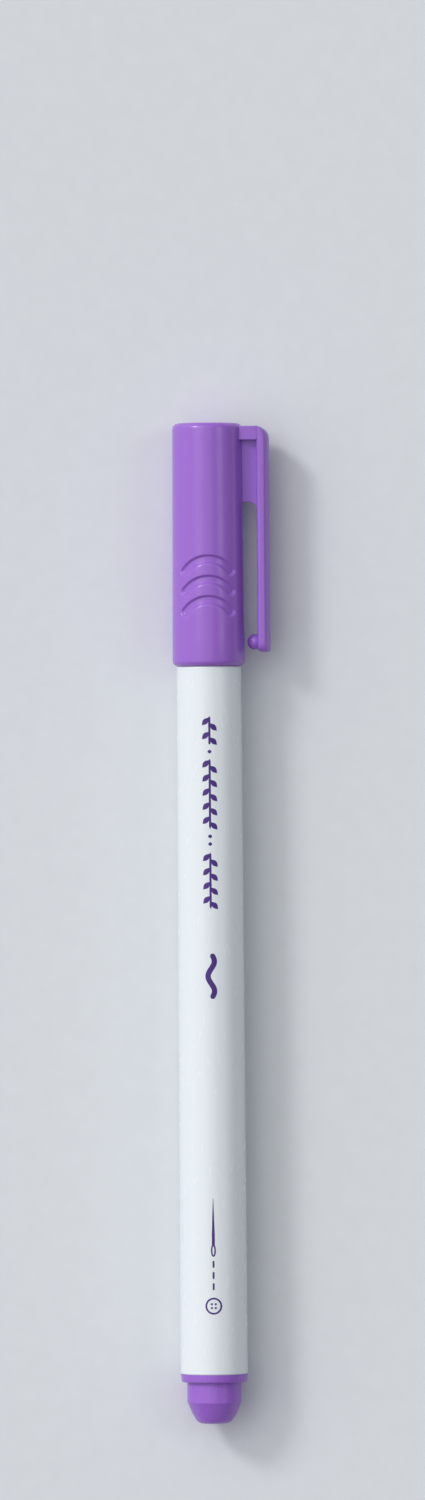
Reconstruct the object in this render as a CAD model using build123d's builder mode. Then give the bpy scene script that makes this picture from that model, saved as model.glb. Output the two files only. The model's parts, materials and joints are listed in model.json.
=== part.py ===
"""Fabric marking pen with a clip cap, an ink reservoir and a fibre nib, in millimetres.

The pen lies along Y. Its rear end is at Y = 0, the top of its cap is towards +Y, and
its pocket clip stands out towards +X. The pen's axis is the Y axis. Heights called
"from the mouth" are measured from the barrel's shoulder, where the cap's mouth sits,
towards the top of the cap.
"""

from build123d import *
from math import cos, radians, sin
import os

# --- Lengths along the pen ---------------------------------------------------------
plug_dome_length = 3.3
plug_post_length = 3.2
plug_flange_length = 1.25
barrel_length = 110.5
cap_length = 38.0

barrel_rear_y = plug_dome_length + plug_post_length + plug_flange_length
mouth_y = barrel_rear_y + barrel_length
cap_top_y = mouth_y + cap_length

# --- Shared by several parts -------------------------------------------------------
lead_in = 0.4  # how much the end of a pressed-in part narrows
lead_in_length = 0.8
rib_root = 0.2  # how far a rib runs into the wall that carries it

# --- Barrel ------------------------------------------------------------------------
barrel_rear_radius = 5.25
barrel_front_radius = 5.025
barrel_edge_fillet = 0.2
neck_radius = 4.175
neck_rim_radius = 3.725
neck_straight_length = 5.9
neck_length = 9.2
neck_rim_fillet = 0.25
neck_bore_radius = 3.0
bore_front_radius = 4.0
bore_rear_radius = 4.1
bore_floor_depth = 1.5  # from the mouth back to the ledge that stops the reservoir
socket_radius = 4.15  # rear socket for the end plug
socket_length = 8.0
barrel_rib_width = 0.9
barrel_rib_count = 4

# --- Ink reservoir and its film ----------------------------------------------------
reservoir_radius = 3.68
film_thickness = 0.12
film_radius = reservoir_radius + film_thickness
reservoir_chamfer = 0.25

# --- End plug ----------------------------------------------------------------------
plug_flange_radius = 5.22
plug_flange_draft = 0.12
plug_flange_fillet = 0.25
plug_post_radius = 4.25
plug_dome_edge_radius = 4.2
plug_cone_radius = 3.5
plug_cone_y = 1.6
plug_flat_radius = 1.5
plug_spigot_length = 7.0
plug_hollow_radius = 3.2
plug_hollow_floor_y = 3.4
plug_hollow_chamfer = 1.0
plug_bead_height = 0.12
plug_bead_length = 1.2
plug_bead_setback = 3.0  # from the barrel's rear face to the middle of the bead
plug_vent_width = 1.2
plug_vent_depth = 1.5

# --- Nib and nib holder ------------------------------------------------------------
nib_radius = 1.25
nib_reach = 21.2  # tip, from the mouth
nib_length = 32.0
nib_dome_length = 2.8
nib_tail_length = 1.5
nib_tail_radius = 0.7

holder_spigot_length = 8.0
holder_cone_base_radius = 3.7
holder_cone_top_radius = 2.45
holder_cone_length = 1.7
ferrule_length = 5.1
ferrule_tip_radius = 2.15
ferrule_fillet = 0.35
holder_bore_radius = 1.45
holder_rib_width = 0.45
holder_rib_count = 6

# --- Cap shell ---------------------------------------------------------------------
cap_mouth_gap = 0.05
cap_mouth_radius = 5.675
cap_top_radius = 5.45
cap_mouth_fillet = 0.87
cap_top_fillet = 0.9
cap_bore_radius = 4.65
cap_bore_length = 12.5
cap_hollow_radius = 4.3
cap_hollow_top_radius = 4.15
cap_roof_thickness = 1.5
cap_rib_count = 4
cap_rib_width = 0.8
cap_rib_length = 11.5

# --- Grip recesses on the cap's two faces ------------------------------------------
grip_peaks = (10.30, 13.47, 16.64)  # crest of each band's centre line, from the mouth
grip_radius = 4.3
grip_half_angle = 55
grip_width = 1.33
grip_depth = 0.4

# --- Inner cap, which seals the nib ------------------------------------------------
liner_lip = 0.3  # set back from the cap's mouth
liner_seal_radius = 4.21
liner_straight_length = 6.2
liner_throat_radius = 3.8
liner_throat_length = 9.4
liner_shelf_length = 11.4
liner_cup_inner_radius = 2.95
liner_cup_radius = 3.75
liner_cup_length = 24.5
liner_wall = 1.0
liner_lead_in = 0.15
liner_lead_in_length = 0.3

# --- Pocket clip -------------------------------------------------------------------
clip_inner_x = 7.65
clip_side_thickness = 1.14
clip_crown_height = 0.91
clip_width = 4.8
clip_top_drop = 0.5  # below the top of the cap
clip_shoulder_radius = 2.0
clip_tip = 2.2  # from the mouth
clip_tip_chamfer = 0.8
clip_tip_outer_chamfer = 0.4
clip_tip_corner = 1.4
clip_bridge_length = 2.2
web_thickness = 1.8
web_end = 25.7  # lower edge, from the mouth
web_fillet = 1.25
web_root_x = 4.9
clip_split = 24.3  # where the fixed root ends and the flexing arm begins
clip_split_gap = 0.18
clip_hinge_x = 8.5
clip_hinge_setback = 0.35
tongue_radius = 0.4
tongue_clearance = 0.05
tongue_width = 3.2
ball_radius = 1.23
ball_height = 3.8
ball_x = 7.29


def across(y):
    """The plane square to the pen at this Y: its own x is +X, and it faces +Y."""
    return Plane(origin=(0, y, 0), x_dir=(1, 0, 0), z_dir=(0, 1, 0))


def from_mouth(height):
    """The Y of a height that is measured from the mouth."""
    return mouth_y + height


os.makedirs("parts", exist_ok=True)

# === Nib: a stiff fibre rod with a bullet point ====================================
nib_tip_y = from_mouth(nib_reach)
nib_tail_y = nib_tip_y - nib_length
nib_dome_y = nib_tip_y - nib_dome_length
nib_dome = [  # points round a quarter of an ellipse
    (nib_radius * cos(radians(turn)), nib_dome_y + nib_dome_length * sin(radians(turn)))
    for turn in (0, 30, 60, 90)
]

with BuildPart() as nib:
    with BuildSketch(Plane.XY):
        with BuildLine():
            Polyline(
                (0, nib_tip_y),
                (0, nib_tail_y),
                (nib_tail_radius, nib_tail_y),
                (nib_radius, nib_tail_y + nib_tail_length),
                (nib_radius, nib_dome_y),
            )
            Spline(*nib_dome, tangents=((0, 1), (-1, 0)))
        make_face()
    revolve(axis=Axis.Y)

nib.part.label = "nib"
export_step(nib.part, "parts/nib.step")

# === Nib holder: spigot, cone and ferrule, ribbed inside so that air can pass =======
neck_rim_y = from_mouth(neck_length)
holder_rear_y = neck_rim_y - holder_spigot_length
ferrule_base_y = neck_rim_y + holder_cone_length
ferrule_tip_y = ferrule_base_y + ferrule_length

with BuildPart() as nib_holder:
    with BuildSketch(Plane.XY):
        with BuildLine():
            Polyline(
                (0, holder_rear_y),
                (neck_bore_radius - lead_in, holder_rear_y),
                (neck_bore_radius, holder_rear_y + lead_in_length),
                (neck_bore_radius, neck_rim_y),
                (holder_cone_base_radius, neck_rim_y),
                (holder_cone_top_radius, ferrule_base_y),
                (ferrule_tip_radius, ferrule_tip_y),
                (0, ferrule_tip_y),
                close=True,
            )
        make_face()
    revolve(axis=Axis.Y)
    fillet(nib_holder.edges().sort_by(Axis.Y)[-1], ferrule_fillet)
    with BuildSketch(across(holder_rear_y)):
        Circle(holder_bore_radius)
    extrude(amount=ferrule_tip_y - holder_rear_y, mode=Mode.SUBTRACT)
    with BuildSketch(across(holder_rear_y + lead_in)):
        with PolarLocations(0, holder_rib_count // 2, angular_range=180):
            Rectangle(2 * holder_bore_radius + holder_rib_width, holder_rib_width)
        Circle(nib_radius, mode=Mode.SUBTRACT)
        Circle(holder_bore_radius + holder_rib_width / 2, mode=Mode.INTERSECT)
    extrude(amount=ferrule_tip_y - holder_rear_y - 2 * lead_in)

nib_holder.part.label = "nib_holder"
export_step(nib_holder.part, "parts/nib_holder.step")

# === Ink reservoir: a round fibre core, with the nib's tail pushed into it ==========
reservoir_front_y = from_mouth(-bore_floor_depth)
reservoir_rear_y = barrel_rear_y + plug_spigot_length
reservoir_length = reservoir_front_y - reservoir_rear_y

with BuildPart() as ink_reservoir:
    with BuildSketch(across(reservoir_rear_y)):
        Circle(reservoir_radius)
    extrude(amount=reservoir_length)
    chamfer(ink_reservoir.edges(), reservoir_chamfer)
    add(nib.part, mode=Mode.SUBTRACT)

ink_reservoir.part.label = "ink_reservoir"
export_step(ink_reservoir.part, "parts/ink_reservoir.step")

# === Reservoir sleeve: the film wrapped round the fibre core =======================
with BuildPart() as reservoir_sleeve:
    with BuildSketch(across(reservoir_rear_y)):
        Circle(film_radius)
        Circle(reservoir_radius, mode=Mode.SUBTRACT)
    extrude(amount=reservoir_length)

reservoir_sleeve.part.label = "reservoir_sleeve"
export_step(reservoir_sleeve.part, "parts/reservoir_sleeve.step")

# === End plug: dome, post and flange outside, a hollow spigot inside the barrel =====
post_rear_y = plug_dome_length
flange_rear_y = plug_dome_length + plug_post_length
spigot_front_y = barrel_rear_y + plug_spigot_length
bead_y = barrel_rear_y + plug_bead_setback


def snap_bead():
    """A low ring round the plug's spigot, drawn inside a BuildLine."""
    Polyline(
        (socket_radius, bead_y - plug_bead_length / 2),
        (socket_radius + plug_bead_height, bead_y),
        (socket_radius, bead_y + plug_bead_length / 2),
        (socket_radius - plug_bead_height, bead_y),
        close=True,
    )


with BuildPart() as end_plug:
    with BuildSketch(Plane.XY):
        with BuildLine():
            cone = Line((plug_dome_edge_radius, post_rear_y), (plug_cone_radius, plug_cone_y))
            TangentArc(cone @ 1, (plug_flat_radius, 0), tangent=cone % 1)
            Polyline(
                (plug_flat_radius, 0),
                (0, 0),
                (0, plug_hollow_floor_y),
                (plug_hollow_radius - plug_hollow_chamfer, plug_hollow_floor_y),
                (plug_hollow_radius, plug_hollow_floor_y + plug_hollow_chamfer),
                (plug_hollow_radius, spigot_front_y),
                (socket_radius - lead_in, spigot_front_y),
                (socket_radius, spigot_front_y - lead_in_length),
                (socket_radius, barrel_rear_y),
                (plug_flange_radius, barrel_rear_y),
                (plug_flange_radius - plug_flange_draft, flange_rear_y),
                (plug_post_radius, flange_rear_y),
                (plug_post_radius, post_rear_y),
                (plug_dome_edge_radius, post_rear_y),
            )
        make_face()
        with BuildLine():
            snap_bead()
        make_face()
    revolve(axis=Axis.Y)
    # the flange's two rims are the largest circles, and the rear one is drafted smaller
    rims = end_plug.edges().filter_by(GeomType.CIRCLE).sort_by(SortBy.RADIUS)
    fillet(rims[-2], plug_flange_fillet)
    with BuildSketch(across(spigot_front_y - plug_vent_depth)):
        with PolarLocations(0, 2, angular_range=180):
            Rectangle(2 * barrel_rear_radius, plug_vent_width)
    extrude(amount=plug_vent_depth, mode=Mode.SUBTRACT)

end_plug.part.label = "end_plug"
export_step(end_plug.part, "parts/end_plug.step")

# === Barrel: a drafted tube whose front end is the neck that the cap slides over ====
socket_front_y = barrel_rear_y + socket_length
neck_taper_y = from_mouth(neck_straight_length)

with BuildPart() as barrel:
    with BuildSketch(Plane.XY) as barrel_section:
        with BuildLine():
            Polyline(
                (socket_radius, barrel_rear_y),
                (barrel_rear_radius, barrel_rear_y),
                (barrel_front_radius, mouth_y),
                (neck_radius, mouth_y),
                (neck_radius, neck_taper_y),
                (neck_rim_radius, neck_rim_y),
                (neck_bore_radius, neck_rim_y),
                (neck_bore_radius, reservoir_front_y),
                (bore_front_radius, reservoir_front_y),
                (bore_rear_radius, socket_front_y),
                (socket_radius, socket_front_y),
                close=True,
            )
        make_face()
        outer_corners = barrel_section.vertices().sort_by(Axis.X)[-2:]
        fillet(outer_corners, barrel_edge_fillet)
        rim_corner = barrel_section.vertices().sort_by(Axis.Y)[-2:].sort_by(Axis.X)[-1]
        fillet(rim_corner, neck_rim_fillet)
        with BuildLine():
            snap_bead()
        make_face(mode=Mode.SUBTRACT)
    revolve(axis=Axis.Y)
    # ribs that centre the reservoir and let air past it
    with BuildSketch(across(socket_front_y)):
        with PolarLocations(0, barrel_rib_count // 2, start_angle=45, angular_range=180):
            Rectangle(2 * barrel_rear_radius, barrel_rib_width)
        Circle(bore_rear_radius + rib_root, mode=Mode.INTERSECT)
        Circle(film_radius, mode=Mode.SUBTRACT)
    extrude(amount=reservoir_front_y - socket_front_y)

barrel.part.label = "barrel"
export_step(barrel.part, "parts/barrel.step")

# === Inner cap: a thin cup that slips over the neck and seals the nib ===============
liner_step_y = from_mouth(cap_bore_length)

with BuildPart() as inner_cap:
    with BuildSketch(Plane.XY) as liner_section:
        with BuildLine():
            Polyline(
                (liner_seal_radius + liner_lead_in, from_mouth(liner_lip)),
                (cap_bore_radius, from_mouth(liner_lip)),
                (cap_bore_radius, liner_step_y),
                (liner_cup_radius, liner_step_y),
                (liner_cup_radius, from_mouth(liner_cup_length)),
                (0, from_mouth(liner_cup_length)),
                (0, from_mouth(liner_cup_length - liner_wall)),
                (liner_cup_inner_radius, from_mouth(liner_cup_length - liner_wall)),
                (liner_cup_inner_radius, from_mouth(liner_shelf_length)),
                (liner_throat_radius, from_mouth(liner_throat_length)),
                (liner_seal_radius, from_mouth(liner_straight_length)),
                (liner_seal_radius, from_mouth(liner_lip + liner_lead_in_length)),
                close=True,
            )
        make_face()
        cup_corner = liner_section.vertices().sort_by(Axis.Y)[-2:].sort_by(Axis.X)[-1]
        fillet(cup_corner, liner_wall)
    revolve(axis=Axis.Y)

inner_cap.part.label = "inner_cap"
export_step(inner_cap.part, "parts/inner_cap.step")

# === Grip recesses: arched slots that follow the cap's round surface ===============
with BuildPart() as grip_cutter:
    with BuildSketch(Plane.XY):
        for peak in grip_peaks:
            band = CenterArc(
                (0, from_mouth(peak) - grip_radius),
                grip_radius,
                90 - grip_half_angle,
                2 * grip_half_angle,
            )
            SlotArc(band, grip_width)
    extrude(amount=2 * cap_mouth_radius, both=True)
    # what lies deeper than the recess stays
    with BuildSketch(Plane.XY):
        with BuildLine():
            Polyline(
                (0, mouth_y),
                (cap_mouth_radius - grip_depth, mouth_y),
                (cap_top_radius - grip_depth, cap_top_y),
                (0, cap_top_y),
                close=True,
            )
        make_face()
    revolve(axis=Axis.Y, mode=Mode.SUBTRACT)

# === Clip body: the whole clip's outer form, used for its root and its arm ==========
clip_top_y = cap_top_y - clip_top_drop
clip_tip_y = from_mouth(clip_tip)
clip_side_x = clip_inner_x + clip_side_thickness
clip_crown_x = clip_side_x + clip_crown_height
half_width = clip_width / 2

with BuildPart() as clip_form:
    # the domed section, run along the whole clip
    with BuildSketch(across(clip_tip_y)):
        with BuildLine():
            Polyline(
                (clip_side_x, half_width),
                (clip_inner_x, half_width),
                (clip_inner_x, -half_width),
                (clip_side_x, -half_width),
            )
            ThreePointArc(
                (clip_side_x, -half_width),
                (clip_crown_x, 0),
                (clip_side_x, half_width),
            )
        make_face()
    extrude(amount=clip_top_y - clip_tip_y)
    # seen from its side: a round shoulder at the top, a chamfer inside the tip
    with BuildSketch(Plane.XY.offset(-half_width)):
        with BuildLine():
            Polyline(
                (clip_crown_x, clip_tip_y + clip_tip_outer_chamfer),
                (clip_crown_x - clip_tip_outer_chamfer, clip_tip_y),
                (clip_inner_x + clip_tip_chamfer, clip_tip_y),
                (clip_inner_x, clip_tip_y + clip_tip_chamfer),
                (clip_inner_x, clip_top_y),
                (clip_crown_x - clip_shoulder_radius, clip_top_y),
            )
            RadiusArc(
                (clip_crown_x - clip_shoulder_radius, clip_top_y),
                (clip_crown_x, clip_top_y - clip_shoulder_radius),
                clip_shoulder_radius,
            )
            Line(
                (clip_crown_x, clip_top_y - clip_shoulder_radius),
                (clip_crown_x, clip_tip_y + clip_tip_outer_chamfer),
            )
        make_face()
    extrude(amount=clip_width, mode=Mode.INTERSECT)
    # seen from outside: round corners at the tip
    with BuildSketch(Plane.YZ) as clip_front:
        with Locations(((clip_tip_y + clip_top_y) / 2, 0)):
            Rectangle(clip_top_y - clip_tip_y, clip_width)
        tip_corners = clip_front.vertices().group_by(Axis.X)[0]
        fillet(tip_corners, clip_tip_corner)
    extrude(amount=2 * clip_crown_x, mode=Mode.INTERSECT)

# === Cap shell: tube, grip recesses, and the clip's fixed root on its web ===========
split_y = from_mouth(clip_split)
hinge_y = split_y + clip_hinge_setback
hollow_top_y = cap_top_y - cap_roof_thickness

with BuildPart() as cap_shell:
    with BuildSketch(Plane.XY) as cap_section:
        with BuildLine():
            Polyline(
                (0, mouth_y + cap_mouth_gap),
                (cap_mouth_radius, mouth_y + cap_mouth_gap),
                (cap_top_radius, cap_top_y),
                (0, cap_top_y),
                close=True,
            )
        make_face()
        fillet(cap_section.vertices().sort_by(Axis.X)[-1], cap_mouth_fillet)
        top_corner = cap_section.vertices().group_by(Axis.Y)[-1].sort_by(Axis.X)[-1]
        fillet(top_corner, cap_top_fillet)
    revolve(axis=Axis.Y)
    # the web and the bridge that carry the clip
    with BuildSketch(Plane.XY):
        with BuildLine():
            Polyline(
                (clip_inner_x, from_mouth(web_end) - web_fillet),
                (clip_inner_x, clip_top_y),
                (web_root_x, clip_top_y),
                (web_root_x, from_mouth(web_end)),
                (clip_inner_x - web_fillet, from_mouth(web_end)),
            )
            RadiusArc(
                (clip_inner_x - web_fillet, from_mouth(web_end)),
                (clip_inner_x, from_mouth(web_end) - web_fillet),
                web_fillet,
            )
        make_face()
    extrude(amount=web_thickness / 2, both=True)
    with BuildSketch(Plane.XY.offset(-half_width)):
        with Locations((web_root_x, clip_top_y)):
            Rectangle(
                clip_inner_x - web_root_x,
                clip_bridge_length,
                align=(Align.MIN, Align.MAX),
            )
    extrude(amount=clip_width)
    add(
        split(clip_form.part, bisect_by=across(split_y), keep=Keep.TOP, mode=Mode.PRIVATE)
    )
    # the hollow: a wide bore for the inner cap, then a narrower space above it
    with BuildSketch(Plane.XY):
        with BuildLine():
            Polyline(
                (0, mouth_y),
                (cap_bore_radius, mouth_y),
                (cap_bore_radius, liner_step_y),
                (cap_hollow_radius, liner_step_y),
                (cap_hollow_top_radius, hollow_top_y),
                (0, hollow_top_y),
                close=True,
            )
        make_face()
    revolve(axis=Axis.Y, mode=Mode.SUBTRACT)
    # ribs that hold the inner cap's cup
    with BuildSketch(across(liner_step_y)):
        with PolarLocations(0, cap_rib_count // 2, start_angle=45, angular_range=180):
            Rectangle(2 * cap_bore_radius, cap_rib_width)
        Circle(cap_hollow_radius + rib_root, mode=Mode.INTERSECT)
        Circle(liner_cup_radius, mode=Mode.SUBTRACT)
    extrude(amount=cap_rib_length)
    add(grip_cutter.part, mode=Mode.SUBTRACT)
    # pocket for the arm's tongue
    with BuildSketch(Plane.XY):
        with Locations((clip_hinge_x, hinge_y)):
            Circle(tongue_radius + tongue_clearance)
        with Locations((clip_hinge_x, split_y)):
            Rectangle(
                2 * (tongue_radius + tongue_clearance),
                clip_hinge_setback,
                align=(Align.CENTER, Align.MIN),
            )
    extrude(amount=tongue_width / 2 + tongue_clearance, both=True, mode=Mode.SUBTRACT)

cap_shell.part.label = "cap_shell"
export_step(cap_shell.part, "parts/cap_shell.step")

# === Cap clip: the arm that flexes, with the ball that grips a pocket ===============
arm_top_y = split_y - clip_split_gap

with BuildPart() as cap_clip:
    add(
        split(
            clip_form.part, bisect_by=across(arm_top_y), keep=Keep.BOTTOM, mode=Mode.PRIVATE
        )
    )
    # the ball's seam is turned away from the arm, so that no joint crosses it
    with Locations((ball_x, from_mouth(ball_height), 0)):
        Sphere(ball_radius, rotation=(0, 0, 180))
    with BuildSketch(Plane.XY):
        with Locations((clip_hinge_x, hinge_y)):
            Circle(tongue_radius)
        with Locations((clip_hinge_x, hinge_y)):
            Rectangle(
                2 * tongue_radius,
                hinge_y - arm_top_y + tongue_radius,
                align=(Align.CENTER, Align.MAX),
            )
    extrude(amount=tongue_width / 2, both=True)

cap_clip.part.label = "cap_clip"
export_step(cap_clip.part, "parts/cap_clip.step")
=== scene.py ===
"""Looks of the fabric marking pen: fine meshes and materials round its CAD frame.

Lengths are in millimetres here, and become metres when a mesh, light or camera is made.
The pen lies along Y: its rear end is at Y = 0, its cap is towards +Y, its pocket clip
stands out towards +X, and +Z is up. A mesh that turns round the pen starts at +X and
passes +Z. Sections are lists of (radius, y), or of (radius, y, fillet) before rounding.
"""

import json
from math import asin, atan2, cos, degrees, pi, radians, sin, sqrt, tan

import bmesh
import bpy
from mathutils import Matrix, Vector


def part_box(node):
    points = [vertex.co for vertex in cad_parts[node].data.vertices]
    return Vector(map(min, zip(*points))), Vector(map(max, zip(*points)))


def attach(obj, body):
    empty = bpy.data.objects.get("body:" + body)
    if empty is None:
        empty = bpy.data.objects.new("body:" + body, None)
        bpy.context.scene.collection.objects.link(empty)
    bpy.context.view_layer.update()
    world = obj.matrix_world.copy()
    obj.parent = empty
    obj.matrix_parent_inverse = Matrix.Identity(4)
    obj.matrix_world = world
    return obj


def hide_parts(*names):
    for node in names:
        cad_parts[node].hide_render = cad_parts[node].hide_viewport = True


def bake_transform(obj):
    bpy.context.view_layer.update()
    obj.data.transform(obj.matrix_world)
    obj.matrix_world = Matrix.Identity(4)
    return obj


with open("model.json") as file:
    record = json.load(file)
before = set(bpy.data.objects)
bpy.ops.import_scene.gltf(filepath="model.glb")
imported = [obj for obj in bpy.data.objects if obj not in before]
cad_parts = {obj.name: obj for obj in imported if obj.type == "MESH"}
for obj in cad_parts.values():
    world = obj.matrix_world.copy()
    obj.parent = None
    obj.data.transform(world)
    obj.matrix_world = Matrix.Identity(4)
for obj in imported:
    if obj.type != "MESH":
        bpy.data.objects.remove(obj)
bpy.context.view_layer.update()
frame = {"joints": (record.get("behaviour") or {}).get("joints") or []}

MM = 0.001


def reach(node):
    """The lowest and the highest Y of a CAD node."""
    low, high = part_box(node)
    return low.y / MM, high.y / MM


def hinge_y(joint_name):
    """The Y of the point that a hinge's axis passes through."""
    joint = next(j for j in frame["joints"] if j["name"] == joint_name)
    return joint["pos_m"][1] / MM


# --- Places along the pen, from the frame ------------------------------------------
plug_rear, plug_front = reach("end_plug")
barrel_rear, neck_rim = reach("barrel")
holder_rear, holder_tip = reach("nib_holder")
nib_tail, nib_tip = reach("nib")
core_rear, core_front = reach("ink_reservoir")
cap_mouth, cap_top = reach("cap_shell")
liner_mouth, liner_top = reach("inner_cap")
clip_tip = reach("cap_clip")[0]

# --- Barrel ------------------------------------------------------------------------
neck_length = 9.2
neck_taper = 3.3
shoulder = neck_rim - neck_length
barrel_rear_radius = 5.25
barrel_front_radius = 5.025
neck_radius = 4.175
neck_rim_radius = 3.725
neck_bore_radius = 3.0
bore_front_radius = 4.0
bore_rear_radius = 4.1
socket_radius = 4.15
socket_length = 8.0
barrel_rib_crest = 3.8
barrel_rib_width = 0.9
bead_y = barrel_rear + 3.0  # the snap bead that holds the end plug
bead_half_length = 0.6
bead_height = 0.12

# --- Nib and its holder, ink core --------------------------------------------------
nib_radius = 1.25
nib_dome_length = 2.8
nib_tail_radius = 0.7
nib_tail_length = 1.5
holder_bore_radius = 1.45
holder_rib_count = 6
holder_rib_width = 0.45
core_radius = 3.68
wrap_radius = 3.8

# --- Cap ---------------------------------------------------------------------------
cap_mouth_radius = 5.672
cap_top_radius = 5.45
cap_bore_radius = 4.65
cap_bore_length = 12.5
cap_hollow_radius = 4.3
cap_hollow_top_radius = 4.15
cap_roof = 1.5
cap_rib_crest = 3.75
cap_rib_width = 0.8
cap_rib_length = 11.5
cap_rib_root = 0.08  # how much the hollow narrows along its ribs
cap_rounded_length = 2.0  # the stretch below the top that holds its round edge
liner_radius = cap_bore_radius - 0.01
liner_cup_radius = 3.75
liner_cup_bore_radius = 2.95
liner_wall = 1.0
grip_peaks = (10.30, 13.47, 16.64)  # crest of each band's centre line, from the shoulder
grip_radius = 4.3
grip_half_angle = radians(55)
grip_half_width = 0.665
grip_depth = 0.4
grip_outer_wall = 0.26  # width of a recess's rounded wall on its outer side
grip_inner_wall = 0.62  # and on its inner side, where it is laid further back
grip_tilt = 0.12  # share of the depth that the floor loses towards its inner side
grip_cell = 0.1  # size of the mesh's cells where the recesses are
grip_low, grip_high = 4.4, 17.6  # the stretch of fine cells, from the shoulder
grip_reach = 4.1  # half the width of that stretch, across the cap
coarse_turn = 3.5  # degrees between the cells elsewhere

# --- Pocket clip -------------------------------------------------------------------
clip_inner = 7.65
clip_side = 8.79
clip_crown = 9.70
clip_half_width = 2.4
clip_edge = 0.25
clip_inner_edge = 0.45
clip_split = hinge_y("clip_flex") - 0.35
clip_top = cap_top - 0.5
clip_shoulder_radius = 2.0
clip_fine_length = 7.0  # the part of the arm that needs short cells to bend
ball_radius = 1.23
ball_x = 7.29
ball_y = clip_tip + 1.6
web_root = 4.9
web_low = shoulder + 25.7
web_fillet = 1.25
web_half_width = 0.9
web_overlap = 8.2  # X inside the clip at which the web ends
bridge_length = 2.2


def smoothstep(value):
    """0 below 0, 1 above 1, and an even S in between."""
    value = max(0.0, min(1.0, value))
    return value * value * (3 - 2 * value)


def steps(start, end, size):
    """Evenly spaced values from start to end, no further apart than size."""
    count = max(1, round(abs(end - start) / size + 0.49))
    return [start + (end - start) * k / count for k in range(count + 1)]


# === Meshes ========================================================================
def rounded(corners, arc_steps=6, closed=True):
    """The outline through corners (a, b, fillet), with an arc where the fillet isn't 0."""
    outline = []
    last = len(corners) - 1
    for k, (a, b, fillet) in enumerate(corners):
        corner = Vector((a, b))
        if fillet == 0 or (not closed and k in (0, last)):
            outline.append((a, b))
            continue
        back = (Vector(corners[k - 1][:2]) - corner).normalized()
        on = (Vector(corners[(k + 1) % len(corners)][:2]) - corner).normalized()
        half = back.angle(on) / 2
        centre = corner + (back + on).normalized() * (fillet / sin(half))
        start = corner + back * (fillet / tan(half)) - centre
        end = corner + on * (fillet / tan(half)) - centre
        turn = start.angle_signed(end)
        for step in range(arc_steps + 1):
            point = centre + Matrix.Rotation(-turn * step / arc_steps, 2) @ start
            outline.append((point.x, point.y))
    return outline


def finished(name, bm, sharp=32):
    """Turns a bmesh in millimetres into a smooth-shaded object in metres."""
    bmesh.ops.recalc_face_normals(bm, faces=bm.faces)
    bmesh.ops.scale(bm, vec=(MM, MM, MM), verts=bm.verts)
    mesh = bpy.data.meshes.new(name)
    bm.to_mesh(mesh)
    bm.free()
    mesh.shade_smooth()
    mesh.set_sharp_from_angle(angle=radians(sharp))
    piece = bpy.data.objects.new(name, mesh)
    bpy.context.scene.collection.objects.link(piece)
    normals = piece.modifiers.new("even_normals", "WEIGHTED_NORMAL")
    normals.keep_sharp = True
    return piece


def grid_faces(bm, rows, closed_rows, closed_columns):
    """Joins rows of vertices with faces. A row of one vertex is a pole."""
    pairs = list(zip(rows, rows[1:]))
    if closed_rows:
        pairs.append((rows[-1], rows[0]))
    for low, high in pairs:
        count = max(len(low), len(high))
        for k in range(count if closed_columns else count - 1):
            turn = (k + 1) % count
            if len(low) == 1 and len(high) == 1:
                break
            if len(low) == 1:
                bm.faces.new((low[0], high[turn], high[k]))
            elif len(high) == 1:
                bm.faces.new((low[k], low[turn], high[0]))
            else:
                bm.faces.new((low[k], low[turn], high[turn], high[k]))


ROUND = [2 * pi * k / 128 for k in range(128)]


def lathe(outline, angles=ROUND, shape=None):
    """A bmesh: a closed section turned round the Y axis.

    shape(radius, y, angle) may give another (radius, y) for any point.
    """
    bm = bmesh.new()
    rows = []
    for radius, y in outline:
        if radius < 1e-6:
            rows.append([bm.verts.new((0, y, 0))])
            continue
        row = []
        for angle in angles:
            r, height = shape(radius, y, angle) if shape else (radius, y)
            row.append(bm.verts.new((r * cos(angle), height, r * sin(angle))))
        rows.append(row)
    grid_faces(bm, rows, closed_rows=True, closed_columns=True)
    return bm


def rib_angles(count, width, radius, first=45.0):
    """Angles for a lathe with ribs or slots: even ones, and a close pair at each side."""
    half = asin(width / 2 / radius)
    thin = radians(0.05)
    sides = []
    for k in range(count):
        middle = radians(first) + 2 * pi * k / count
        for side in (-half - thin, -half, half, half + thin):
            sides.append((middle + side) % (2 * pi))
    even = [a for a in ROUND if min(abs(a - side) for side in sides) > radians(0.4)]
    return sorted(even + sides)


def on_rib(angle, count, width, radius, first=45.0):
    """True where a rib of that width stands at this angle."""
    half = asin(width / 2 / radius) + 1e-6
    pitch = 2 * pi / count
    away = (angle - radians(first) + pitch / 2) % pitch - pitch / 2
    return abs(away) <= half


def join(name, first, others):
    """One closed mesh from bmeshes in millimetres, by boolean union."""
    base = finished(name, first)
    for other in others:
        tool = finished(name + "_part", other)
        union = base.modifiers.new("union", "BOOLEAN")
        union.operation = "UNION"
        union.solver = "EXACT"
        union.object = tool
        base.modifiers.move(len(base.modifiers) - 1, 0)
        bpy.context.view_layer.objects.active = base
        bpy.ops.object.modifier_apply(modifier=union.name)
        bpy.data.objects.remove(tool)
    mesh = base.data
    mesh.shade_smooth()
    mesh.set_sharp_from_angle(angle=radians(32))
    return base


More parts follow.
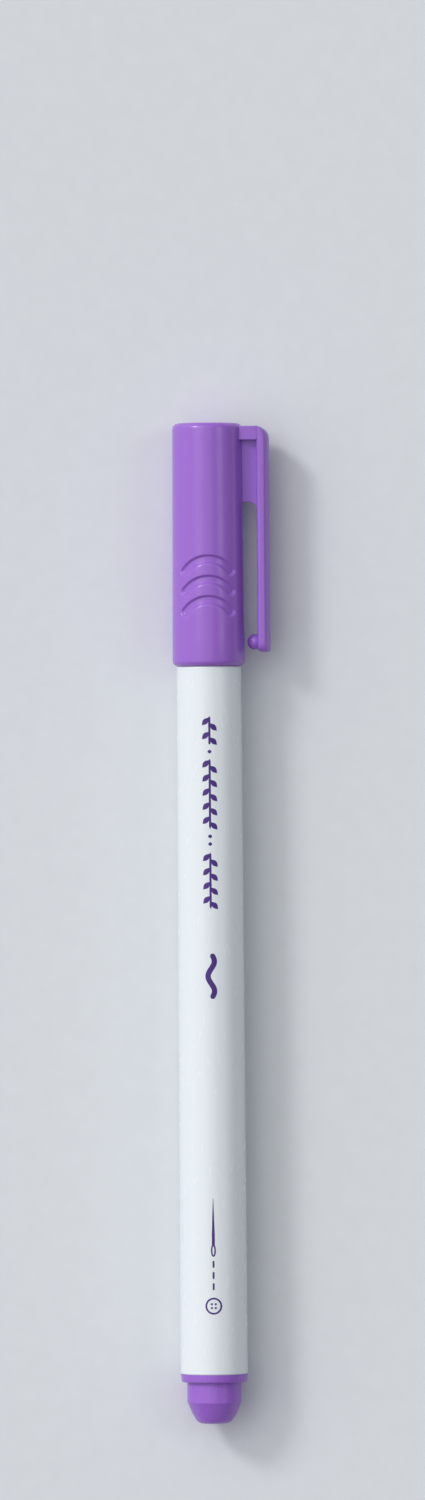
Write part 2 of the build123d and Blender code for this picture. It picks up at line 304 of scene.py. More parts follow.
# === Pieces ========================================================================
def make_end_plug():
    """Domed end, post and flange outside; a hollow spigot with a snap bead inside."""
    dome_end, post_rear, flange_rear = plug_rear + 1.6, plug_rear + 3.3, plug_rear + 6.5
    dome_radius, post_radius, flange_radius = 3.5, 4.25, 5.22
    hollow_radius, hollow_end = 3.2, plug_rear + 3.4
    vent = plug_front - 1.5
    vent_count, vent_width = 4, 1.2
    dome = rounded(
        [(0, plug_rear, 0), (2.55, plug_rear, 1.35), (dome_radius, dome_end, 0)],
        arc_steps=12,
        closed=False,
    )
    body = rounded(
        [
            (dome_radius, dome_end, 0),
            (4.2, post_rear, 0.08),
            (post_radius, post_rear, 0),
            (post_radius, flange_rear, 0.1),
            (5.10, flange_rear, 0.25),
            (flange_radius, barrel_rear, 0.04),
            (socket_radius, barrel_rear, 0),
            (socket_radius, bead_y - bead_half_length, 0),
            (socket_radius + bead_height, bead_y, 0.3),
            (socket_radius, bead_y + bead_half_length, 0),
            (socket_radius, plug_front - 0.8, 0),
            (socket_radius - 0.4, plug_front, 0),
            (hollow_radius, plug_front, 0),
            (hollow_radius, hollow_end + 1.0, 0.4),
            (2.2, hollow_end, 0.4),
            (0, hollow_end, 0),
        ],
        closed=False,
    )

    def shape(radius, y, angle):
        if y > vent and on_rib(angle, vent_count, vent_width, socket_radius, first=0):
            return radius, vent
        return radius, y

    angles = rib_angles(vent_count, vent_width, socket_radius, first=0)
    return finished("rear_plug", lathe(dome[:-1] + body, angles, shape))


def make_barrel():
    """Drafted tube; its front end is the neck that the cap slides over."""
    ledge = core_front
    socket_front = barrel_rear + socket_length
    outline = rounded(
        [
            (socket_radius, barrel_rear, 0.12),
            (barrel_rear_radius, barrel_rear, 0.2),
            (barrel_front_radius, shoulder, 0.2),
            (neck_radius, shoulder, 0.1),
            (neck_radius, neck_rim - neck_taper, 0.8),
            (neck_rim_radius, neck_rim, 0.25),
            (neck_bore_radius, neck_rim, 0.15),
            (neck_bore_radius, ledge, 0),
            (bore_front_radius, ledge, 0),
            (bore_rear_radius, socket_front, 0),
            (socket_radius, socket_front, 0),
            (socket_radius, bead_y + bead_half_length, 0),
            (socket_radius + bead_height, bead_y, 0),
            (socket_radius, bead_y - bead_half_length, 0),
        ]
    )

    def shape(radius, y, angle):
        in_bore = bore_front_radius - 0.01 < radius < bore_rear_radius + 0.01
        if in_bore and y >= socket_front and on_rib(
            angle, 4, barrel_rib_width, bore_rear_radius
        ):
            return barrel_rib_crest, y
        return radius, y

    angles = rib_angles(4, barrel_rib_width, bore_rear_radius)
    return finished("barrel_tube", lathe(outline, angles, shape))


def make_ink_core():
    """Round core of bonded fibre, with the pocket that the nib's tail sits in."""
    outline = rounded(
        [
            (0, core_rear, 0),
            (core_radius, core_rear, 0.25),
            (core_radius, core_front, 0.25),
            (nib_radius, core_front, 0.1),
            (nib_radius, nib_tail + nib_tail_length, 0),
            (nib_tail_radius, nib_tail, 0),
            (0, nib_tail, 0),
        ]
    )
    return finished("ink_core", lathe(outline))


def make_core_wrap():
    """The film round the ink core."""
    outline = rounded(
        [
            (core_radius, core_rear, 0),
            (wrap_radius, core_rear, 0.04),
            (wrap_radius, core_front, 0.04),
            (core_radius, core_front, 0),
        ]
    )
    return finished("core_wrap", lathe(outline))


def make_nib_holder():
    """Spigot, cone and ferrule, with six ribs in its bore that hold the nib."""
    cone_top = neck_rim + 1.7
    rib_start, rib_end = holder_rear + 0.4, holder_tip - 0.4
    outline = rounded(
        [
            (holder_bore_radius, holder_rear, 0),
            (2.6, holder_rear, 0),
            (neck_bore_radius, holder_rear + 0.8, 0),
            (neck_bore_radius, neck_rim, 0),
            (3.7, neck_rim, 0.12),
            (2.45, cone_top, 0.15),
            (2.15, holder_tip, 0.35),
            (holder_bore_radius, holder_tip, 0.1),
            (holder_bore_radius, rib_end, 0),
            (holder_bore_radius, rib_end - 0.02, 0),
            (holder_bore_radius, rib_start + 0.02, 0),
            (holder_bore_radius, rib_start, 0),
        ]
    )

    ribs = (holder_rib_count, holder_rib_width, holder_bore_radius)

    def shape(radius, y, angle):
        along = rib_start + 0.01 < y < rib_end - 0.01
        if along and radius < holder_bore_radius + 0.01 and on_rib(angle, *ribs, first=0):
            return nib_radius, y
        return radius, y

    angles = rib_angles(*ribs, first=0)
    return finished("holder_ferrule", lathe(outline, angles, shape))


def make_nib():
    """Fibre rod with a bullet point."""
    dome = nib_tip - nib_dome_length
    turns = [radians(90 * k / 16) for k in range(16)]
    outline = [(0, nib_tail), (nib_tail_radius, nib_tail)]
    outline.append((nib_radius, nib_tail + nib_tail_length))
    outline += [
        (nib_radius * cos(turn), dome + nib_dome_length * sin(turn)) for turn in turns
    ]
    outline.append((0, nib_tip))
    return finished("fibre_nib", lathe(outline, ROUND[::2]), sharp=40)


def make_inner_cap():
    """Thin cup that slips over the neck and seals the nib."""
    step = shoulder + cap_bore_length - 0.01
    shelf = shoulder + 11.4
    outline = rounded(
        [
            (4.36, liner_mouth, 0.05),
            (liner_radius, liner_mouth, 0.05),
            (liner_radius, step, 0),
            (liner_cup_radius, step, 0),
            (liner_cup_radius, liner_top, 1.0),
            (0, liner_top, 0),
            (0, liner_top - liner_wall, 0),
            (liner_cup_bore_radius, liner_top - liner_wall, 0.5),
            (liner_cup_bore_radius, shelf, 0.3),
            (3.8, shoulder + 9.4, 0.4),
            (4.21, shoulder + 6.2, 0.4),
            (4.21, liner_mouth + 0.3, 0.1),
        ]
    )
    return finished("inner_cap_cup", lathe(outline))


def grip_mask(x, height):
    """How far into a grip recess a point on the cap is: 0 outside, 1 at its deepest."""
    end = grip_radius * Vector((sin(grip_half_angle), cos(grip_half_angle)))
    deepest = 0.0
    for peak in grip_peaks:
        arm = Vector((abs(x), height - (peak - grip_radius)))
        off_line = arm.length - grip_radius
        away = abs(off_line)
        if atan2(arm.x, arm.y) > grip_half_angle:
            away = (arm - end).length
        inward = 0.5 - 0.5 * min(1.0, max(-1.0, off_line / grip_half_width))
        wall = grip_outer_wall + (grip_inner_wall - grip_outer_wall) * inward
        into = min(1.0, max(0.0, (grip_half_width - away) / wall + 0.5))
        rounded_over = 1 - sqrt(1 - into * into)
        inside = smoothstep(into) * (1 - inward) + rounded_over * inward
        deepest = max(deepest, inside * (1 - grip_tilt * inward))
    return deepest


def cap_angles():
    """Angles round the cap: fine over the recesses on its two faces, wider elsewhere."""
    reach_angle = degrees(asin(grip_reach / (cap_mouth_radius - grip_depth)))
    fine = degrees(grip_cell / cap_mouth_radius)
    whole = []
    for middle in (90, 270):
        whole += steps(middle - reach_angle, middle + reach_angle, fine)
    for middle in (0, 180):
        start, end = middle - 90 + reach_angle, middle + 90 - reach_angle
        whole += steps(start, end, coarse_turn)[1:-1]
    half = degrees(asin(cap_rib_width / 2 / cap_hollow_radius))
    sides = [
        middle + side
        for middle in (45, 135, 225, 315)
        for side in (-half - 0.05, -half, half, half + 0.05)
    ]
    whole = [a % 360 for a in whole if min(abs(a % 360 - side) for side in sides) > 0.3]
    return [radians(a) for a in sorted(whole + sides)]


def make_cap_tube():
    """The cap's drafted tube with a closed top and three arched recesses on two faces."""
    step = shoulder + cap_bore_length
    roof = cap_top - cap_roof
    rib_end = step + cap_rib_length
    low, high = shoulder + grip_low, shoulder + grip_high
    top_start = cap_top - cap_rounded_length
    draft = (cap_mouth_radius - cap_top_radius) / (cap_top - cap_mouth)

    def outer(y):
        return cap_mouth_radius - draft * (y - cap_mouth)

    mouth = rounded(
        [
            (cap_bore_radius, cap_mouth + 0.3, 0),
            (cap_bore_radius, cap_mouth, 0.1),
            (cap_mouth_radius, cap_mouth, 0.87),
            (outer(low), low, 0),
        ],
        arc_steps=10,
        closed=False,
    )
    faces = [(outer(y), y) for y in steps(low, high, grip_cell)]
    upper = [(outer(y), y) for y in steps(high, top_start, 1.0)]
    top = rounded(
        [
            (outer(top_start), top_start, 0),
            (cap_top_radius, cap_top, 0.9),
            (0, cap_top, 0),
            (0, roof, 0),
            (cap_hollow_top_radius, roof, 0.4),
            (cap_hollow_radius - cap_rib_root, rib_end + 0.02, 0),
            (cap_hollow_radius - cap_rib_root, rib_end, 0),
            (cap_hollow_radius, step, 0),
            (cap_bore_radius, step, 0),
        ],
        arc_steps=10,
        closed=False,
    )

    def shape(radius, y, angle):
        height = y - shoulder
        if radius > cap_bore_radius + 0.2:
            return radius - grip_depth * grip_mask(radius * cos(angle), height), y
        in_hollow = cap_rib_crest < radius < cap_bore_radius - 0.1
        if in_hollow and step <= y <= rib_end and on_rib(
            angle, 4, cap_rib_width, cap_hollow_radius
        ):
            return cap_rib_crest, y
        return radius, y

    outline = mouth[:-1] + faces + upper[1:-1] + top
    return lathe(outline, cap_angles(), shape)


def plate(outline, low, high, edge):
    """A closed plate in a bmesh: an outline (x, y) between two Z, with eased edges."""
    bm = bmesh.new()
    middle = sum((Vector(point) for point in outline), Vector((0, 0))) / len(outline)
    rows = []
    for z, inset in ((low, edge), (low + edge, 0), (high - edge, 0), (high, edge)):
        row = []
        for point in outline:
            away = (Vector(point) - middle).normalized() * inset
            row.append(bm.verts.new((point[0] - away.x, point[1] - away.y, z)))
        rows.append(row)
    grid_faces(bm, rows, closed_rows=False, closed_columns=True)
    bm.faces.new(rows[0])
    bm.faces.new(rows[-1])
    return bm


def dome_x(z):
    """The clip's outer face at this distance from its middle line."""
    rise = clip_crown - clip_side
    bend = (clip_half_width**2 + rise**2) / (2 * rise)
    return clip_crown - bend + sqrt(bend * bend - z * z)


def clip_ring(inner, half_width, depth, trim):
    """The clip's section as points (x, z): a flat inner face and a domed outer one.

    depth scales its thickness, and trim takes that much off the outer face.
    """

    def outer(z):
        return inner + max(0.05, dome_x(z) - trim - inner) * depth

    room = 0.4 * min(half_width, outer(half_width) - inner)
    edge, inner_edge = min(clip_edge, room), min(clip_inner_edge, room)
    crown = [half_width * (1 - 2 * k / 16) for k in range(1, 16)]
    corners = [(inner, -half_width, inner_edge), (inner, half_width, inner_edge)]
    corners.append((outer(half_width), half_width, edge))
    corners += [(outer(z), z, 0) for z in crown]
    corners.append((outer(half_width), -half_width, edge))
    return rounded(corners, arc_steps=4)


def loft(rings):
    """A closed bmesh through rings of (x, z) points, given as (y, ring)."""
    bm = bmesh.new()
    rows = [[bm.verts.new((x, y, z)) for x, z in ring] for y, ring in rings]
    grid_faces(bm, rows, closed_rows=False, closed_columns=True)
    bm.faces.new(rows[0])
    bm.faces.new(rows[-1])
    return bm


def rounded_off(gone, size):
    """Share of a round corner of this size that is still cut away this far along it."""
    left = max(0.0, 1 - gone / size)
    return 1 - sqrt(1 - left * left)


def make_clip_arm():
    """The flexing arm, with round tip corners and the ball that grips a pocket."""
    corner, chamfer, outer_chamfer = 1.4, 0.8, 0.4
    rings = []
    for k in range(1, 13):
        turn = radians(90 * k / 12)
        gone = corner * (1 - cos(turn))
        ring = clip_ring(
            clip_inner + chamfer * rounded_off(gone, chamfer),
            clip_half_width - corner * (1 - sin(turn)),
            1.0,
            outer_chamfer * rounded_off(gone, outer_chamfer),
        )
        rings.append((clip_tip + gone, ring))
    whole = clip_ring(clip_inner, clip_half_width, 1.0, 0.0)
    straight = clip_tip + corner
    bend = clip_split - clip_fine_length
    for y in steps(straight, bend, 1.0)[1:-1] + steps(bend, clip_split, 0.25):
        rings.append((y, whole))
    turns = [radians(180 * k / 24) for k in range(25)]
    section = [(ball_radius * sin(turn), -ball_radius * cos(turn)) for turn in turns]
    ball = lathe(section, ROUND[::2])
    turn_to_x = Matrix.Rotation(radians(90), 3, "Z")
    bmesh.ops.rotate(ball, cent=(0, 0, 0), matrix=turn_to_x, verts=ball.verts)
    bmesh.ops.translate(ball, vec=(ball_x, ball_y, 0), verts=ball.verts)
    return join("clip_arm", loft(rings), [ball])


def make_clip_root():
    """The clip's fixed end, from the split up to its round shoulder."""
    count = 14
    start = clip_top - clip_shoulder_radius
    rings = [
        (y, clip_ring(clip_inner, clip_half_width, 1.0, 0.0))
        for y in steps(clip_split, start, 1.0)
    ]
    # the last ring stops half a step short of the end, where nothing would be left of it
    for k in range(1, count + 1):
        turn = radians(90 * k / (count + 0.5))
        ring = clip_ring(clip_inner, clip_half_width, cos(turn), 0.0)
        rings.append((start + clip_shoulder_radius * sin(turn), ring))
    return loft(rings)


def make_cap():
    """The cap moulding: tube, web, bridge and the clip's root, as one closed mesh."""
    low = web_low - web_fillet
    high = clip_top - 0.5
    turns = [radians(90 * k / 10) for k in range(11)]
    centre_x = clip_inner - web_fillet
    fillet = [
        (centre_x + web_fillet * sin(turn), low + web_fillet * cos(turn)) for turn in turns
    ]
    web = [(web_overlap, low)] + fillet[::-1]
    web += [(web_root, web_low), (web_root, high), (web_overlap, high)]
    bridge_x = clip_inner + 0.1
    bridge_low = clip_top - bridge_length
    bridge = [
        (web_root, bridge_low),
        (web_root, clip_top),
        (bridge_x, clip_top),
        (bridge_x, bridge_low),
    ]
    bridge_half_width = clip_half_width - 0.01
    return join(
        "cap_moulding",
        make_cap_tube(),
        [
            plate(web, -web_half_width, web_half_width, edge=0.02),
            plate(bridge, -bridge_half_width, bridge_half_width, edge=0.15),
            make_clip_root(),
        ],
    )


# === Printing on the barrel ========================================================
print_low, print_high = -0.01, 0.014  # the ink's two faces, from the barrel's surface


def barrel_radius(y):
    """The barrel's outer radius at this Y."""
    share = (y - barrel_rear) / (shoulder - barrel_rear)
    return barrel_rear_radius + (barrel_front_radius - barrel_rear_radius) * share


def on_barrel(around, y, lift):
    """The point at a distance round the barrel from its top line, towards +X."""
    angle = around / barrel_radius(y)
    radius = barrel_radius(y) + lift
    return radius * sin(angle), y, radius * cos(angle)


def stroke(bm, path, half_width, closed=False, columns=4):
    """Lays one thin closed stroke of ink along a path of (around, y) points.

    half_width(share) gives its half width at a share of the way along the path.
    """
    last = len(path) - 1
    tops, bottoms = [], []
    for k, point in enumerate(path):
        before = path[k - 1] if (k or closed) else point
        after = path[(k + 1) % len(path)] if (k < last or closed) else point
        along = Vector(after) - Vector(before)
        across = Vector((-along.y, along.x)).normalized()
        reach_out = half_width(k / last)
        top, bottom = [], []
        for column in range(columns + 1):
            side = (2 * column / columns - 1) * reach_out
            spot = Vector(point) + across * side
            top.append(bm.verts.new(on_barrel(spot.x, spot.y, print_high)))
            bottom.append(bm.verts.new(on_barrel(spot.x, spot.y, print_low)))
        tops.append(top)
        bottoms.append(bottom)
    rows = [top + bottom[::-1] for top, bottom in zip(tops, bottoms)]
    grid_faces(bm, rows, closed_rows=closed, closed_columns=True)
    if not closed:
        for row in (rows[0], rows[-1]):
            half = len(row) // 2
            for k in range(half - 1):
                bm.faces.new((row[k], row[k + 1], row[-k - 2], row[-k - 1]))


def round_ends(half_width, length):
    """A half width that is constant but for round ends."""

    def at(share):
        from_end = min(share, 1 - share) * length
        inside = max(0.0, 1 - from_end / half_width)
        return half_width * max(0.12, sqrt(1 - inside * inside))

    return at


def lens(half_width):
    """A half width that swells from a point to the middle and back."""
    return lambda share: half_width * max(0.04, sin(pi * share))


def straight(start, end, count=12):
    """Evenly spaced points from one point to another."""
    start, end = Vector(start), Vector(end)
    return [tuple(start.lerp(end, k / count)) for k in range(count + 1)]


def ellipse(around, y, half_around, half_along, count=32):
    """Points of a closed ellipse."""
    turns = [2 * pi * k / count for k in range(count)]
    return [(around + half_around * cos(t), y + half_along * sin(t)) for t in turns]


def print_piece(name, draw):
    """One printed mark: draw(bm) lays its strokes."""
    bm = bmesh.new()
    draw(bm)
    return finished(name, bm)


def draw_border(bm):
    """A long sewn border: leaves on a stem, with a stitch between one group and the next."""
    stem_half_width, leaf_half_width, dot_half_length = 0.17, 0.42, 0.32
    pitch = 2.2
    start = shoulder - 7.8
    for first, pairs in ((0.0, 2), (6.6, 5), (21.2, 4)):
        length = pairs * pitch
        begin = start - first
        stem = straight((0, begin), (0, begin - length), count=24)
        stroke(bm, stem, round_ends(stem_half_width, length), columns=2)
        for pair in range(pairs):
            for side in (-1, 1):
                base = begin - pitch * (pair + 0.1 + 0.2 * (side + 1))
                leaf = straight((0.1 * side, base), (1.15 * side, base - 1.15))
                stroke(bm, leaf, lens(leaf_half_width))
    for first in (5.5, 18.7, 19.9):
        middle = start - first
        dot = straight((0, middle + dot_half_length), (0, middle - dot_half_length))
        stroke(bm, dot, lens(dot_half_length))


def draw_wave(bm):
    """A short thick wavy line."""
    start, length = shoulder - 44.8, 7.0
    swing, half_width, count = 0.5, 0.42, 48
    wave = [
        (swing * sin(3 * pi * k / count), start - length * k / count)
        for k in range(count + 1)
    ]
    stroke(bm, wave, round_ends(half_width, length))


def draw_needle(bm):
    """A needle, three running stitches behind its eye, and a four-hole button."""
    tip = shoulder - 82.9
    length, eye_length = 9.0, 1.7
    eye = tip - length
    shaft = straight((0, tip), (0, eye + eye_length), count=30)
    stroke(bm, shaft, lambda share: 0.03 + 0.2 * min(1.0, 1.3 * share), columns=2)
    hole = ellipse(0, eye + eye_length / 2, 0.27, eye_length / 2)
    stroke(bm, hole, lambda share: 0.12, closed=True, columns=2)
    stitch_length, stitch_pitch = 1.15, 1.75
    for stitch in range(3):
        start = eye - 0.7 - stitch_pitch * stitch
        dash = straight((0, start), (0, start - stitch_length))
        stroke(bm, dash, round_ends(0.15, stitch_length), columns=2)
    button, button_radius = eye - 7.8, 1.18
    rim = ellipse(0, button, button_radius, button_radius)
    stroke(bm, rim, lambda share: 0.14, closed=True, columns=2)
    for side in (-1, 1):
        for end in (-1, 1):
            hole = ellipse(0.3 * side, button + 0.3 * end, 0.09, 0.09)
            stroke(bm, hole, lambda share: 0.085, closed=True, columns=2)


# === Materials =====================================================================
def node(tree, kind, inputs=None, **settings):
    """Adds a node. inputs holds constants or other nodes' output sockets, by name."""
    made = tree.nodes.new(kind)
    for key, value in settings.items():
        setattr(made, key, value)
    for key, value in (inputs or {}).items():
        if isinstance(value, bpy.types.NodeSocket):
            tree.links.new(value, made.inputs[key])
        else:
            made.inputs[key].default_value = value
    return made


def noise(tree, size, detail=4.0, rough=0.55, seed=0.0):
    """Noise whose features have this size (x, y, z), from 0 to 1."""
    place = node(tree, "ShaderNodeTexCoord").outputs["Object"]
    scale = [1 / (side * MM) for side in size]
    mapped = node(
        tree,
        "ShaderNodeMapping",
        {"Vector": place, "Scale": scale, "Location": (seed, seed, seed)},
    )
    made = node(
        tree,
        "ShaderNodeTexNoise",
        {
            "Vector": mapped.outputs["Vector"],
            "Scale": 1.0,
            "Detail": detail,
            "Roughness": rough,
        },
    )
    return made.outputs["Fac"]


def spread(tree, value, low, high, to_low, to_high):
    """Maps low..high of a value to another range, and holds it there."""
    made = node(
        tree,
        "ShaderNodeMapRange",
        {
            "Value": value,
            "From Min": low,
            "From Max": high,
            "To Min": to_low,
            "To Max": to_high,
        },
    )
    return made.outputs["Result"]


def ramp(tree, value, *stops):
    """Colours by value: each stop is (position, (r, g, b))."""
    made = node(tree, "ShaderNodeValToRGB", {"Fac": value})
    elements = made.color_ramp.elements
    while len(elements) < len(stops):
        elements.new(0.5)
    for element, (position, colour) in zip(elements, stops):
        element.position = position
        element.color = (*colour, 1)
    return made.outputs["Color"]


def blend_colours(tree, factor, first, second):
    """A mix of two colours by a factor socket. A colour is a socket or (r, g, b)."""
    made = node(tree, "ShaderNodeMix", data_type="RGBA")
    for index, value in ((0, factor), (6, first), (7, second)):
        if isinstance(value, bpy.types.NodeSocket):
            tree.links.new(value, made.inputs[index])
        else:
            made.inputs[index].default_value = (*value, 1)
    return made.outputs[2]


def total(tree, first, second, operation="ADD"):
    """Two values put together: their sum, or what another math operation gives."""
    made = node(tree, "ShaderNodeMath", operation=operation)
    for index, value in enumerate((first, second)):
        if isinstance(value, bpy.types.NodeSocket):
            tree.links.new(value, made.inputs[index])
        else:
            made.inputs[index].default_value = value
    return made.outputs["Value"]


def relief(tree, height, depth, strength=1.0):
    """A bump of that depth from a height between 0 and 1."""
    made = node(
        tree,
        "ShaderNodeBump",
        {"Height": height, "Distance": depth * MM, "Strength": strength},
    )
    return made.outputs["Normal"]


def surface(name, build):
    """A material whose Principled shader takes what build(tree) returns, by socket name."""
    material = bpy.data.materials.new(name)
    material.use_nodes = True
    tree = material.node_tree
    shader = tree.nodes["Principled BSDF"]
    for key, socket in build(tree).items():
        tree.links.new(socket, shader.inputs[key])
    return material


def moulded(tree, light, dark, pale, rough, grain=0.002, scuff=0.5):
    """Injection-moulded polypropylene: flow streaks, a fine skin and faint scuffs.

    light and dark are the streaks' two tones, and pale is the colour of a scuff.
    """
    flow = noise(tree, (1.6, 14, 1.6), detail=3.0)
    cloud = noise(tree, (5, 9, 5), detail=2.0, seed=7.0)
    flow_part = total(tree, flow, 0.6, "MULTIPLY")
    cloud_part = total(tree, cloud, 0.4, "MULTIPLY")
    tone = total(tree, flow_part, cloud_part)
    colour = ramp(tree, tone, (0.30, dark), (0.70, light))
    hair = noise(tree, (0.05, 7.0, 0.05), detail=2.0, seed=3.0)
    rub = noise(tree, (2.2, 3.5, 2.2), detail=3.0, seed=11.0)
    scratch = total(
        tree,
        spread(tree, hair, 0.66, 0.74, 0.0, 1.0),
        spread(tree, rub, 0.52, 0.68, 0.0, scuff),
        "MULTIPLY",
    )
    skin = noise(tree, (0.12, 0.12, 0.12), detail=3.0, seed=5.0)
    smear = noise(tree, (0.8, 3.0, 0.8), seed=2.0)
    gloss = spread(tree, smear, 0.3, 0.7, rough - 0.015, rough + 0.02)
    worn = total(tree, scratch, 0.10, "MULTIPLY")
    height = total(tree, skin, total(tree, scratch, -0.03, "MULTIPLY"))
    return {
        "Base Color": blend_colours(tree, worn, colour, pale),
        "Roughness": total(tree, gloss, total(tree, scratch, 0.08, "MULTIPLY")),
        "Normal": relief(tree, height, grain),
    }


def cap_plastic(tree):
    """The cap's and clip's purple."""
    return moulded(
        tree,
        light=(0.333, 0.137, 0.609),
        dark=(0.322, 0.129, 0.594),
        pale=(0.46, 0.27, 0.68),
        rough=0.22,
    )


def plug_plastic(tree):
    """The end plug's purple, a little less glossy."""
    return moulded(
        tree,
        light=(0.330, 0.128, 0.605),
        dark=(0.312, 0.118, 0.580),
        pale=(0.46, 0.27, 0.68),
        rough=0.28,
    )


def barrel_plastic(tree):
    """The barrel's cool white."""
    return moulded(
        tree,
        light=(0.785, 0.822, 0.848),
        dark=(0.776, 0.813, 0.840),
        pale=(0.74, 0.75, 0.77),
        rough=0.26,
        scuff=0.2,
    )


def holder_plastic(tree):
    """The nib holder's white."""
    return moulded(
        tree,
        light=(0.78, 0.80, 0.82),
        dark=(0.75, 0.77, 0.79),
        pale=(0.72, 0.73, 0.75),
        rough=0.36,
    )


def liner_plastic(tree):
    """The inner cap's grey white."""
    return moulded(
        tree,
        light=(0.74, 0.75, 0.76),
        dark=(0.66, 0.67, 0.69),
        pale=(0.80, 0.80, 0.82),
        rough=0.42,
    )


def nib_fibre(tree):
    """Bonded fibre along the nib, soaked with violet ink towards its point."""
    place = node(tree, "ShaderNodeTexCoord").outputs["Object"]
    along = node(tree, "ShaderNodeSeparateXYZ", {"Vector": place}).outputs["Y"]
    fibre = noise(tree, (0.05, 1.4, 0.05), detail=3.0)
    soak = spread(tree, along, (nib_tip - 6.5) * MM, (nib_tip - 1.0) * MM, 0.0, 1.0)
    wet = total(tree, soak, total(tree, fibre, 0.35, "MULTIPLY"))
    colour = ramp(
        tree,
        wet,
        (0.12, (0.20, 0.07, 0.38)),
        (0.7, (0.10, 0.025, 0.24)),
        (1.0, (0.05, 0.012, 0.14)),
    )
    return {
        "Base Color": colour,
        "Roughness": spread(tree, fibre, 0.3, 0.7, 0.55, 0.8),
        "Normal": relief(tree, fibre, 0.03),
    }


def core_fibre(tree):
    """Bundled fibre that holds the ink, darker where it is wet."""
    fibre = noise(tree, (0.08, 6.0, 0.08), detail=3.0)
    wet = noise(tree, (2.5, 12.0, 2.5), detail=2.0, seed=4.0)
    colour = blend_colours(
        tree,
        spread(tree, wet, 0.4, 0.6, 0.2, 0.9),
        ramp(tree, fibre, (0.35, (0.50, 0.40, 0.62)), (0.65, (0.62, 0.54, 0.72))),
        ramp(tree, fibre, (0.35, (0.12, 0.04, 0.26)), (0.65, (0.19, 0.08, 0.36))),
    )
    return {
        "Base Color": colour,
        "Roughness": spread(tree, fibre, 0.3, 0.7, 0.75, 0.95),
        "Normal": relief(tree, fibre, 0.05),
    }


def film(tree):
    """Clear film, here read as a pale gloss with long wrinkles."""
    wrinkle = noise(tree, (0.7, 9.0, 0.7), detail=3.0)
    colour = ramp(tree, wrinkle, (0.35, (0.52, 0.47, 0.60)), (0.65, (0.66, 0.63, 0.72)))
    return {
        "Base Color": colour,
        "Roughness": spread(tree, wrinkle, 0.3, 0.7, 0.12, 0.28),
        "Normal": relief(tree, wrinkle, 0.05),
    }


def print_ink(tree):
    """Pad-printed violet ink, slightly uneven in its thickness."""
    speck = noise(tree, (0.14, 0.14, 0.14), detail=3.0)
    patch = noise(tree, (1.0, 1.6, 1.0), detail=2.0, seed=9.0)
    speck_part = total(tree, speck, 0.5, "MULTIPLY")
    patch_part = total(tree, patch, 0.5, "MULTIPLY")
    tone = total(tree, speck_part, patch_part)
    return {
        "Base Color": ramp(
            tree, tone, (0.34, (0.046, 0.006, 0.170)), (0.66, (0.072, 0.016, 0.225))
        ),
        "Roughness": spread(tree, speck, 0.3, 0.7, 0.34, 0.5),
        "Normal": relief(tree, speck, 0.004),
    }


def pale_floor(tree):
    """Plain matt card."""
    mottle = noise(tree, (3.0, 3.0, 3.0), detail=3.0)
    colour = ramp(tree, mottle, (0.3, (0.715, 0.735, 0.765)), (0.7, (0.735, 0.755, 0.785)))
    return {
        "Base Color": colour,
        "Roughness": spread(tree, mottle, 0.3, 0.7, 0.8, 0.9),
        "Normal": relief(tree, mottle, 0.02),
    }


def dress(piece, material):
    """Gives a piece its material."""
    piece.data.materials.clear()
    piece.data.materials.append(material)


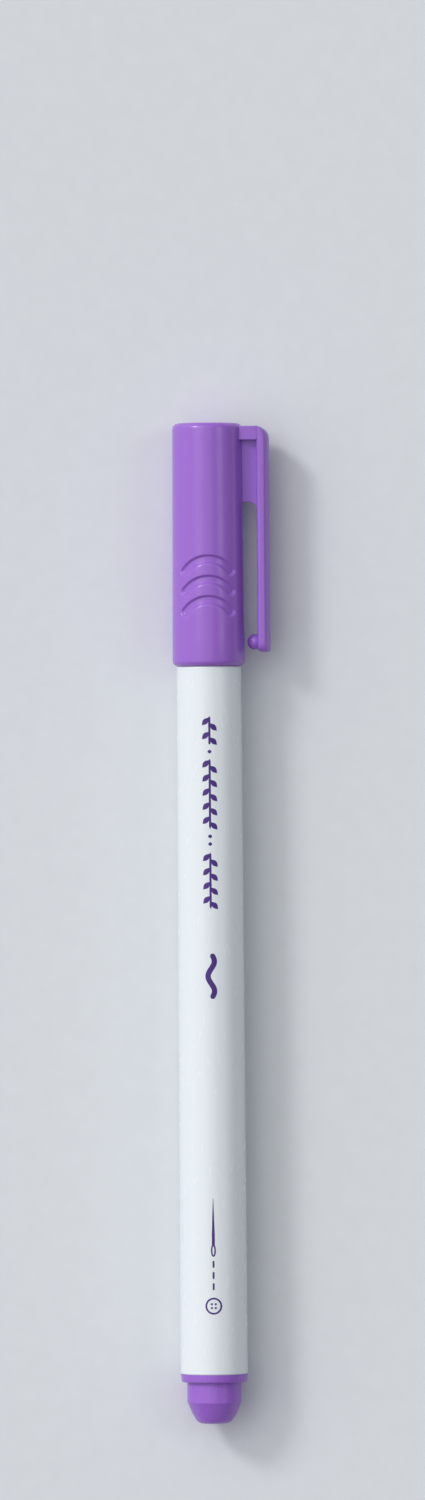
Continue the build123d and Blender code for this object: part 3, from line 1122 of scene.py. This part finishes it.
# === The pen =======================================================================
def build_pen():
    """Makes every piece, in place of the CAD node that it stands for."""
    looks = {
        name: surface(name, build)
        for name, build in (
            ("cap_plastic", cap_plastic),
            ("barrel_plastic", barrel_plastic),
            ("plug_plastic", plug_plastic),
            ("holder_plastic", holder_plastic),
            ("nib_fibre", nib_fibre),
            ("reservoir_fibre", core_fibre),
            ("film", film),
            ("liner_plastic", liner_plastic),
        )
    }
    for make, cad_node, body, slot_name in (
        (make_barrel, "barrel", "barrel", "barrel_plastic"),
        (make_end_plug, "end_plug", "barrel", "plug_plastic"),
        (make_nib_holder, "nib_holder", "barrel", "holder_plastic"),
        (make_nib, "nib", "barrel", "nib_fibre"),
        (make_ink_core, "ink_reservoir", "barrel", "reservoir_fibre"),
        (make_core_wrap, "reservoir_sleeve", "barrel", "film"),
        (make_inner_cap, "inner_cap", "cap", "liner_plastic"),
        (make_cap, "cap_shell", "cap", "cap_plastic"),
    ):
        piece = make()
        dress(piece, looks[slot_name])
        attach(piece, body)
        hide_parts(cad_node)
    arm = make_clip_arm()
    dress(arm, looks["cap_plastic"])
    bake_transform(arm)
    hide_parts("cap_clip")
    ink = surface("print_ink", print_ink)
    for name, draw in (
        ("print_border", draw_border),
        ("print_wave", draw_wave),
        ("print_needle", draw_needle),
    ):
        mark = print_piece(name, draw)
        dress(mark, ink)
        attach(mark, "barrel")


# === Floor, light and camera =======================================================
def add_floor():
    """A wide pale floor that the pen's cap rests on."""
    floor_half_size = 6000
    bm = bmesh.new()
    bmesh.ops.create_grid(bm, x_segments=4, y_segments=4, size=floor_half_size)
    bmesh.ops.translate(bm, vec=(0, 0, -cap_mouth_radius), verts=bm.verts)
    floor = finished("floor", bm)
    dress(floor, surface("pale_floor", pale_floor))


def add_light(name, towards, spread_angle, strength):
    """A far soft light in a direction from the pen. Its spread is the angle it fills."""
    light = bpy.data.lights.new(name, "SUN")
    light.angle = radians(spread_angle)
    light.energy = strength
    lamp = bpy.data.objects.new(name, light)
    lamp.rotation_euler = Vector(towards).to_track_quat("Z", "Y").to_euler()
    bpy.context.scene.collection.objects.link(lamp)


def add_lights():
    """Three lights from the left, broad to narrow, a weak one from the right, and a room."""
    add_light("key_broad", (-0.63, 0.36, 0.77), spread_angle=110, strength=1.47)
    add_light("key_middle", (-0.50, 0.36, 0.87), spread_angle=40, strength=0.44)
    add_light("key_low", (-0.60, 0.55, 0.58), spread_angle=12, strength=0.95)
    add_light("fill", (0.67, 0.20, 0.74), spread_angle=24, strength=0.24)
    world = bpy.data.worlds.new("pale_room")
    world.use_nodes = True
    background = world.node_tree.nodes["Background"]
    background.inputs["Color"].default_value = (0.86, 0.93, 1.0, 1)
    background.inputs["Strength"].default_value = 0.21
    bpy.context.scene.world = world


def add_camera():
    """Looks straight down at a point between the pen's middle and its cap."""
    distance = 1.75
    view_length = 0.2344
    aim_from_rear, aim_beside, lean = 105.2, 0.47, 0.448
    camera = bpy.data.cameras.new("camera")
    camera.lens = camera.sensor_width * distance / view_length
    eye = bpy.data.objects.new("camera", camera)
    eye.location = (aim_beside * MM, (plug_rear + aim_from_rear) * MM, distance)
    eye.rotation_euler = (0, 0, -radians(lean))
    bpy.context.scene.collection.objects.link(eye)
    bpy.context.scene.camera = eye


build_pen()
add_floor()
add_lights()
add_camera()
bpy.context.scene.view_settings.view_transform = "Standard"
